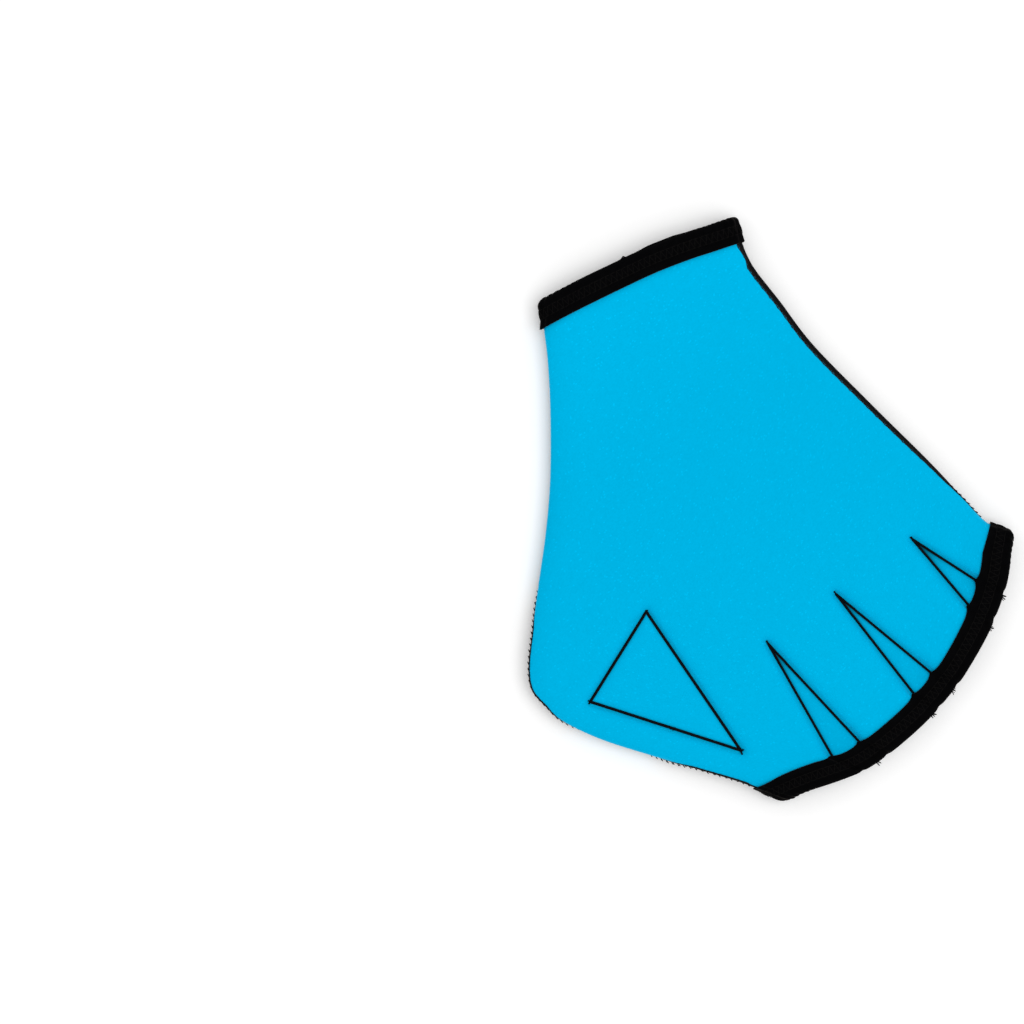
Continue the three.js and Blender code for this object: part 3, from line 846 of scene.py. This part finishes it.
def finishTree(tree, made, given, parts):
    join = addNode(tree, "GeometryNodeJoinGeometry")
    for part in parts:
        tree.links.new(part, join.inputs[0])
    real = addNode(tree, "GeometryNodeRealizeInstances", _0=join.outputs[0])
    soft = addNode(tree, "GeometryNodeSetShadeSmooth", _0=real.outputs[0])
    done = addNode(tree, "GeometryNodeSetMaterial", Geometry=soft.outputs[0], Material=given["Material"])
    tree.links.new(done.outputs[0], made["Threads"])


stitchTree = makeStitchTree()
tailTree = makeTailTree()


# Runs a tree on some paths, each (points, normals, whether it is closed), and keeps the result as a
# plain mesh. Lengths are given in millimetres, turns in radians.
lengthInputs = ("Pitch", "Length", "Thread", "Arch", "Core", "Sink")


def sewn(name, tree, paths, material, sizes):
    vertices, normals, links, first = [], [], [], 0
    for points, faces, closed in paths:
        count = len(points)
        vertices.append(points)
        normals.append(faces)
        if closed is not None:
            links += [(first + k, first + k + 1) for k in range(count - 1)]
            links += [(first + count - 1, first)] if closed else []
        first += count
    mesh = bpy.data.meshes.new(name + "_path")
    mesh.from_pydata((np.vstack(vertices) * mm).tolist(), links, [])
    source = bpy.data.objects.new(name + "_path", mesh)
    scene.collection.objects.link(source)
    addValues(source, "face", np.vstack(normals))
    modifier = source.modifiers.new("sewing", "NODES")
    modifier.node_group = tree
    values = {key: value * mm if key in lengthInputs else value for key, value in sizes.items()}
    values["Material"] = material
    for item in tree.interface.items_tree:
        if item.item_type == "SOCKET" and item.in_out == "INPUT" and item.name in values:
            modifier[item.identifier] = values[item.name]
    result = bpy.data.meshes.new_from_object(source.evaluated_get(bpy.context.evaluated_depsgraph_get()))
    spots = np.zeros(len(result.vertices) * 3, np.float32)
    result.vertices.foreach_get("co", spots)
    spots[2::3] = np.maximum(spots[2::3], 0)  # pressed flat where the glove lies on it
    result.vertices.foreach_set("co", spots)
    bpy.data.objects.remove(source)
    made = bpy.data.objects.new(name, result)
    scene.collection.objects.link(made)
    return made


# Shader groups
def makeKnit():
    tree, given, made = newTree("knit", "ShaderNodeTree", [
        ("Colour", "Color"), ("Fleck", "Float", 0.1), ("Wales", "Float", 15.0), ("Courses", "Float", 20.0),
    ], [("Colour", "Color"), ("Height", "Float")])
    uv = addNode(tree, "ShaderNodeUVMap", {"uv_map": "cloth"}).outputs[0]
    split = addNode(tree, "ShaderNodeSeparateXYZ", _0=uv).outputs
    across = calc(tree, "MULTIPLY", split[0], given["Wales"])
    leg = calc(tree, "PINGPONG", across, 0.5)
    along = calc(tree, "MULTIPLY_ADD", split[1], given["Courses"], leg)
    loop = calc(tree, "SINE", calc(tree, "MULTIPLY", along, 2 * math.pi))
    wale = calc(tree, "SINE", calc(tree, "MULTIPLY", leg, 2 * math.pi))
    height = calc(tree, "MULTIPLY_ADD", wale, 0.6, calc(tree, "MULTIPLY", loop, 0.3))
    cell = addNode(tree, "ShaderNodeCombineXYZ", X=calc(tree, "FLOOR", across), Y=calc(tree, "FLOOR", along))
    chance = addNode(tree, "ShaderNodeTexWhiteNoise", {"noise_dimensions": "2D"}, Vector=cell.outputs[0])
    patch = addNode(tree, "ShaderNodeTexNoise", Vector=uv, Scale=3.0, Detail=4.0)
    offMiddle = [calc(tree, "SUBTRACT", source.outputs[0], 0.5) for source in (chance, patch)]
    spread = calc(tree, "ADD", *offMiddle)
    fleck = calc(tree, "MULTIPLY", calc(tree, "GREATER_THAN", chance.outputs[0], 0.975), given["Fleck"])
    loops = calc(tree, "MULTIPLY_ADD", height, 0.05, 0.98)
    uneven = calc(tree, "MULTIPLY_ADD", spread, calc(tree, "MULTIPLY", given["Fleck"], 0.5), loops)
    gain = calc(tree, "ADD", uneven, fleck)
    tree.links.new(scaled(tree, given["Colour"], gain), made["Colour"])
    tree.links.new(height, made["Height"])
    return tree


# Woven tape: fine ribs along it and two rows of needle holes
def makeWeave():
    tree, given, made = newTree("weave", "ShaderNodeTree", [
        ("Colour", "Color"), ("Ribs", "Float", 14.0), ("Pitch", "Float", 0.23),
        ("First Row", "Float", 0.6), ("Second Row", "Float", 0.3),
    ], [("Colour", "Color"), ("Height", "Float")])
    uv = addNode(tree, "ShaderNodeUVMap", {"uv_map": "cloth"}).outputs[0]
    split = addNode(tree, "ShaderNodeSeparateXYZ", _0=uv).outputs
    rib = calc(tree, "SINE", calc(tree, "MULTIPLY", split[1], given["Ribs"]))
    pick = calc(tree, "SINE", calc(tree, "MULTIPLY", split[0], given["Ribs"]))
    patch = addNode(tree, "ShaderNodeTexNoise", Vector=uv, Scale=24.0, Detail=5.0).outputs[0]
    slow = addNode(tree, "ShaderNodeTexNoise", Vector=uv, Scale=2.5, Detail=2.0).outputs[0]
    weave = calc(tree, "MULTIPLY_ADD", rib, calc(tree, "MULTIPLY_ADD", pick, 0.5, 0.5), patch)
    step = calc(tree, "PINGPONG", split[0], calc(tree, "MULTIPLY", given["Pitch"], 0.5))
    holes = []
    for row in ("First Row", "Second Row"):
        off = calc(tree, "SUBTRACT", split[1], given[row])
        squares = [calc(tree, "POWER", value, 2.0) for value in (off, step)]
        gap = calc(tree, "SQRT", calc(tree, "ADD", *squares))
        holes.append(calc(tree, "SMOOTH_MIN", calc(tree, "DIVIDE", gap, 0.045), 1.0, 0.1))
    offHoles = calc(tree, "MULTIPLY", *holes)
    height = calc(tree, "MULTIPLY", weave, offHoles)
    fine = calc(tree, "MULTIPLY_ADD", weave, 0.25, 0.5)
    gain = calc(tree, "MULTIPLY", calc(tree, "MULTIPLY_ADD", slow, 0.7, fine), offHoles)
    tree.links.new(scaled(tree, given["Colour"], gain), made["Colour"])
    tree.links.new(height, made["Height"])
    return tree


# Twisted thread, or the cells of cut foam where it is coarse
def makeGrain():
    tree, given, made = newTree("grain", "ShaderNodeTree", [
        ("Colour", "Color"), ("Scale", "Float", 2500.0), ("Spread", "Float", 0.5),
    ], [("Colour", "Color"), ("Height", "Float")])
    where = addNode(tree, "ShaderNodeTexCoord").outputs["Object"]
    fine = addNode(tree, "ShaderNodeTexNoise", Vector=where, Scale=given["Scale"], Detail=4.0).outputs[0]
    gain = calc(tree, "MULTIPLY_ADD", calc(tree, "SUBTRACT", fine, 0.5), given["Spread"], 1.0)
    tree.links.new(scaled(tree, given["Colour"], gain), made["Colour"])
    tree.links.new(fine, made["Height"])
    return tree


knit, weave, grain = makeKnit(), makeWeave(), makeGrain()


def linear(r, g, b):
    return [(c / 255 / 12.92 if c <= 10 else ((c / 255 + 0.055) / 1.055) ** 2.4) for c in (r, g, b)] + [1]


# A cloth, tape or thread: one shader group for its colour and height, and a matt, slightly hairy surface
def makeMaterial(
    name, group, colour, bump, depth, rough=0.85, sheen=0.0, gloss=0.05,
    paintedShadeColour=None, edge=None, sheenPower=3.0,
):
    material = bpy.data.materials.new(name)
    material.use_nodes = True
    tree = material.node_tree
    shader = tree.nodes["Principled BSDF"]
    face = addNode(tree, "ShaderNodeGroup", {"node_tree": group}, Colour=colour)
    found = face.outputs["Colour"]
    # painted shade: the colour is mixed towards a deeper tint by the points' shade values
    if paintedShadeColour is not None:
        shade = addNode(tree, "ShaderNodeAttribute", {"attribute_name": "shade"}).outputs["Fac"]
        mix = addNode(tree, "ShaderNodeMix", {"data_type": "RGBA"}, _0=shade, _6=found, _7=paintedShadeColour)
        found = mix.outputs[2]
    if edge is not None:  # painted sheen: the colour is lightened where the cloth turns away from the view, for the light that short hairs catch there
        turned = addNode(tree, "ShaderNodeLayerWeight", Blend=0.5).outputs["Facing"]
        share = calc(tree, "POWER", turned, sheenPower)
        found = addNode(tree, "ShaderNodeMix", {"data_type": "RGBA"}, _0=share, _6=found, _7=edge).outputs[2]
    tree.links.new(found, shader.inputs["Base Color"])
    uneven = addNode(tree, "ShaderNodeBump", Strength=bump, Distance=depth, Height=face.outputs["Height"])
    tree.links.new(uneven.outputs[0], shader.inputs["Normal"])
    shader.inputs["Roughness"].default_value = rough
    shader.inputs["Specular IOR Level"].default_value = gloss
    shader.inputs["Sheen Weight"].default_value = sheen
    shader.inputs["Sheen Roughness"].default_value = 0.3
    return material


looks = {
    "blue": (0.0, 0.485, 0.835, 1),
    # the painted sheen's tint where the blue cloth turns away
    "blueSheen": (0.2, 0.66, 0.86, 1),
    # the painted shade's tint, in the dents and at the points of the webs
    "paintedShadeColour": (0.0, 0.06, 0.1, 1),
    "knit": linear(9, 9, 11),
    "foam": linear(20, 20, 22),
    "tape": linear(4, 4, 5),
    "thread": linear(8, 9, 12),
    "overlock": linear(28, 26, 25),
    "tapeThread": linear(13, 12, 12),
    # the painted highlight's tint at the tape's turned-away edges
    "tapeEdge": linear(70, 64, 60),
}
blueKnit = makeMaterial(
    "blue_knit", knit, looks["blue"], 0.35, 0.0002, sheen=0.01, gloss=0.0, paintedShadeColour=looks["paintedShadeColour"],
    edge=looks["blueSheen"], sheenPower=5.0,
)
blackKnit = makeMaterial("black_knit", knit, looks["knit"], 0.35, 0.0002, sheen=0.01)
cutFoam = makeMaterial("cut_foam", grain, looks["foam"], 0.4, 0.0003)
tapeWeave = makeMaterial(
    "black_tape", weave, looks["tape"], 0.4, 0.00015, sheen=0.003, gloss=0.02,
    edge=looks["tapeEdge"], sheenPower=5.0,
)
tapeThread = makeMaterial(
    "tape_thread", grain, looks["tapeThread"], 0.3, 0.0001, rough=0.7, sheen=0.005, gloss=0.03
)
blackThread = makeMaterial("black_thread", grain, looks["thread"], 0.3, 0.0001, rough=0.7, sheen=0.015)
greyThread = makeMaterial("overlock_thread", grain, looks["overlock"], 0.3, 0.0001, rough=0.75, sheen=0.03)

for material in (blueKnit, blackKnit, cutFoam):
    back.data.materials.append(material)
for material in (blackKnit, blackKnit, cutFoam):
    palm.data.materials.append(material)
for tape in (wristTape, fingerTape):
    tape["made"].data.materials.append(tapeWeave)

# Sizes of the web seams' threads, before they are made wider or narrower
seams = {
    "core": 0.52,
    "thread": 0.3,
    "wide": {"thumb": 1.12, "finger": 0.95},
    "stitch": {"Pitch": 2.4, "Length": 2.7, "Arch": 0.42, "Turn": 0.16, "Sink": 0.1},
    "underTape": 0.4,  # how far a finger web's seams run on under the tape
    "pointOverrun": 0.1,
    "cornerOverrun": 0.7,
    "step": 0.6,
    "height": 0.2,
}
trees = {True: BVHTree.FromObject(back, bpy.context.evaluated_depsgraph_get()),
         False: BVHTree.FromObject(palm, bpy.context.evaluated_depsgraph_get())}


# Lays a straight line on the outer face of a panel
def onPanel(start, end, up):
    away = 1 if up else -1
    count = max(2, int(np.linalg.norm(end - start) / seams["step"]))
    points, normals = [], []
    for share in np.linspace(0, 1, count + 1):
        x, y = blend(start, end, share) + place[:2]
        hit, normal, _, _ = trees[up].ray_cast(Vector((x, y, 60 * away)) * mm, Vector((0, 0, -away)))
        if hit is not None:
            points.append(np.array(hit) / mm + np.array(normal) * seams["height"])
            normals.append(np.array(normal))
    return np.array(points), np.array(normals), False


def stretched(start, end, before, after):
    way = (end - start) / np.linalg.norm(end - start)
    return start - way * before, end + way * after


def makeSeams():
    made = {}
    for name, (point, left, right) in webCorners.items():
        over, corner = seams["pointOverrun"], seams["cornerOverrun"]
        if name == "web_seam_thumb":
            wide = seams["wide"]["thumb"]
            lines = [
                stretched(point, left, 0, over),
                stretched(left, right, over, 2 * over),
                stretched(right, point, corner, 0),
            ]
        else:
            wide = seams["wide"]["finger"]
            lines = [stretched(point, end, over, seams["underTape"]) for end in (left, right)]
        paths = [onPanel(*line, up) for line in lines for up in (True, False)]
        sizes = {"Thread": seams["thread"] * wide, "Core": seams["core"] * wide, **seams["stitch"]}
        made[name] = sewn(name.replace("web_seam", "seam_thread"), stitchTree, paths, blackThread, sizes)
    return made


seamThreads = makeSeams()


# Two needle rows and the threads that zigzag between them, round each tape
tapeStitches = {
    "lift": 0.06,  # half the height of the zigzag over the rows
    "row": {
        "Pitch": 2.3, "Length": 1.9, "Thread": 0.17, "Arch": 0.2, "Core": 0.05,
        "Turn": 0.05, "Sink": 0.15, "Seed": 11,
    },
    "zigzag": {
        "Pitch": 1.15, "Length": 3.5, "Thread": 0.14, "Arch": 0.16, "Core": 0.05,
        "Turn": 1.22, "Sink": 0.05, "Seed": 5,
    },
}


def makeTapeThreads(name, tape):
    first, second = tape["needleRows"]
    away = first[1] + second[1]
    between = ((first[0] + second[0]) / 2 + away * tapeStitches["lift"], away, True)
    rows = sewn(name + "_rows", stitchTree, [first, second], tapeThread, tapeStitches["row"])
    zigzag = sewn(name + "_zigzag", stitchTree, [between], tapeThread, tapeStitches["zigzag"])
    return joined(name, [rows, zigzag])


def joined(name, parts):
    with bpy.context.temp_override(active_object=parts[0], selected_editable_objects=parts):
        bpy.ops.object.join()
    parts[0].name = parts[0].data.name = name
    return parts[0]


tapeThreads = [
    makeTapeThreads("wrist_tape_thread", wristTape),
    makeTapeThreads("finger_tape_thread", fingerTape),
]

# Overlock stitches wrap the two panels' edges together along both sides
overlock = {
    "reach": 0.6,  # from the edge of the panels to the threads on each side of it
    "lift": 0.02,
    "ends": (0.004, 0.996),
    "points": 240,
    "bar": {
        "Pitch": 1.15, "Length": 1.02, "Thread": 0.13, "Arch": 0.05, "Core": 0.12,
        "Turn": 1.38, "Sink": 0.2, "Jitter": 0.1, "Seed": 21,
    },
    "run": {
        "Pitch": 2.3, "Length": 2.6, "Thread": 0.17, "Arch": 0.1, "Core": 0.14,
        "Turn": 0.12, "Sink": 0.12, "Seed": 22,
    },
}


def sideLine(side, aside):
    points, normals = [], []
    for along in np.linspace(*overlock["ends"], overlock["points"]):
        row = (along, None)
        half = glove["foam"] / 2
        turn = seamTurnAt(side, along) + aside / (glove["sideRise"] + half)
        outer, inner = (sidePoints(side, [turn], row, offset)[0] for offset in (half, 0))
        normal = (outer - inner) / np.linalg.norm(outer - inner)
        points.append(outer + normal * overlock["lift"] + place)
        normals.append(normal)
    return np.array(points), np.array(normals), False


def makeSideThreads(side, name):
    beside = [sideLine(side, aside) for aside in (overlock["reach"], -overlock["reach"])]
    bars = sewn(name + "_bars", stitchTree, [sideLine(side, 0)], greyThread, overlock["bar"])
    runs = sewn(name + "_runs", stitchTree, beside, greyThread, overlock["run"])
    return joined(name, [bars, runs])


sideThreads = [
    makeSideThreads("thumb", "thumb_side_thread"),
    makeSideThreads("littleFinger", "little_finger_side_thread"),
]


# Cut ends of the web seams' threads, standing out of the finger tape's fold where each seam,
# carried straight on, meets it. The seam nearest the thumb shows none.
tailSizes = {
    "slips": (-0.6, -0.3, 0, 0.25, 0.55),  # places of the ends, along the fold
    "spread": 0.5,
    "rise": 0.25,
    "tail": {"Length": 1.5, "Thread": 0.19, "Lean": 0.35, "Seed": 4},
}


def makeTails():
    fold, outwards = fingerTape["fold"], fingerTape["outwards"]
    first = 4 * columns["side"]
    upper = fold[first:len(fold) // 2, :2] - place[:2]
    points, faces = [], []
    for name, (point, *ends) in webCorners.items():
        if name == "web_seam_thumb":
            continue
        for end in ends[name == "web_seam_index_middle":]:
            here = first + np.argmin(abs(cross(end - point, upper - point)))
            out = np.array([*outwards[here], tailSizes["rise"]])
            side = np.array([-out[1], out[0], 0])
            for slip in tailSizes["slips"]:
                points.append(fold[here] + side * slip)
                faces.append(out + side * slip * tailSizes["spread"])
    places = [(np.array(points), np.array(faces), None)]
    return sewn("thread_tails", tailTree, places, blackThread, tailSizes["tail"])


tails = makeTails()


# A knot on the thumb web's lower seam
nubSizes = {
    "share": 0.53,  # of the seam, from its outer corner
    "length": 1.6,
    "thread": {
        "Pitch": 0.5, "Length": 1.3, "Thread": 0.3, "Arch": 0.6, "Core": 0.55,
        "Turn": 0.9, "Sink": 0.1, "Jitter": 0.5, "Seed": 9,
    },
}


def makeNub():
    _, left, right = webCorners["web_seam_thumb"]
    start = blend(left, right, nubSizes["share"])
    way = (right - left) / np.linalg.norm(right - left)
    line = onPanel(start, start + way * nubSizes["length"], True)
    return sewn("seam_knot", stitchTree, [line], blackThread, nubSizes["thread"])


nub = makeNub()
print("web seams:", sum(len(made.data.polygons) for made in seamThreads.values()), "faces")


# The camera looks straight down, from above the point midway between the pair's gloves
photoView = {
    "perPixel": 0.38,
    "pixels": 1024,
    "distance": 1800,
    "aim": (-65.8, 43.8),
    "top": 11,
    "turn": -30,
    "sensor": 36,
}
cameraData = bpy.data.cameras.new("camera")
cameraData.sensor_width = photoView["sensor"]
cameraData.lens = photoView["sensor"] * photoView["distance"] / (photoView["perPixel"] * photoView["pixels"])
cameraData.clip_end = 20
camera = bpy.data.objects.new("camera", cameraData)
camera.location = Vector((*photoView["aim"], photoView["distance"] + photoView["top"])) * mm
camera.rotation_euler = (0, 0, math.radians(photoView["turn"]))
scene.collection.objects.link(camera)
scene.camera = camera
scene.view_settings.view_transform = "Standard"

# A white sheet under soft even light
studio = {
    "floor": 6.0,  # metres, as the lamp's size and place
    "floorColours": [(0.96, 0.96, 0.96, 1), (0.98, 0.98, 0.98, 1)],
    "glow": 0.12,
    "world": 0.74,
    "lamp": 13.0,
    "lampSize": 1.4,
    "lampAt": (0.45, -0.35, 1.9),
}


def makeStudio():
    half = studio["floor"] / 2
    mesh = bpy.data.meshes.new("floor")
    corners = [(-half, -half, 0), (half, -half, 0), (half, half, 0), (-half, half, 0)]
    mesh.from_pydata(corners, [], [(0, 1, 2, 3)])
    floor = bpy.data.objects.new("floor", mesh)
    scene.collection.objects.link(floor)
    material = bpy.data.materials.new("floor")
    material.use_nodes = True
    tree = material.node_tree
    shader = tree.nodes["Principled BSDF"]
    where = addNode(tree, "ShaderNodeTexCoord").outputs["Object"]
    fine = addNode(tree, "ShaderNodeTexNoise", Vector=where, Scale=400.0).outputs[0]
    low, high = studio["floorColours"]
    tint = addNode(tree, "ShaderNodeMix", {"data_type": "RGBA"}, _0=fine, _6=low, _7=high)
    tree.links.new(tint.outputs[2], shader.inputs["Base Color"])
    shader.inputs["Roughness"].default_value = 0.95
    shader.inputs["Specular IOR Level"].default_value = 0.1
    shader.inputs["Emission Color"].default_value = (1, 1, 1, 1)
    shader.inputs["Emission Strength"].default_value = studio["glow"]
    mesh.materials.append(material)
    world = bpy.data.worlds.new("studio")
    world.use_nodes = True
    world.node_tree.nodes["Background"].inputs["Color"].default_value = (1, 1, 1, 1)
    world.node_tree.nodes["Background"].inputs["Strength"].default_value = studio["world"]
    scene.world = world
    data = bpy.data.lights.new("lamp", "AREA")
    data.size = studio["lampSize"]
    data.energy = studio["lamp"]
    lamp = bpy.data.objects.new("lamp", data)
    lamp.location = studio["lampAt"]
    lamp.rotation_euler = Vector(studio["lampAt"]).to_track_quat("Z", "Y").to_euler()
    scene.collection.objects.link(lamp)


makeStudio()

for made, slot in (
    (back, "blue_knit"), (palm, "black_knit"),
    (wristTape["made"], "black_tape"), (fingerTape["made"], "black_tape"),
    *((made, "black_thread") for made in [*seamThreads.values(), *tapeThreads, *sideThreads, tails, nub]),
):
    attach(made, "root")
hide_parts("hand_back_panel")
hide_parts("palm_panel")
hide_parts("wrist_binding")
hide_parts("finger_binding")
for name, made in seamThreads.items():
    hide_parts(name)
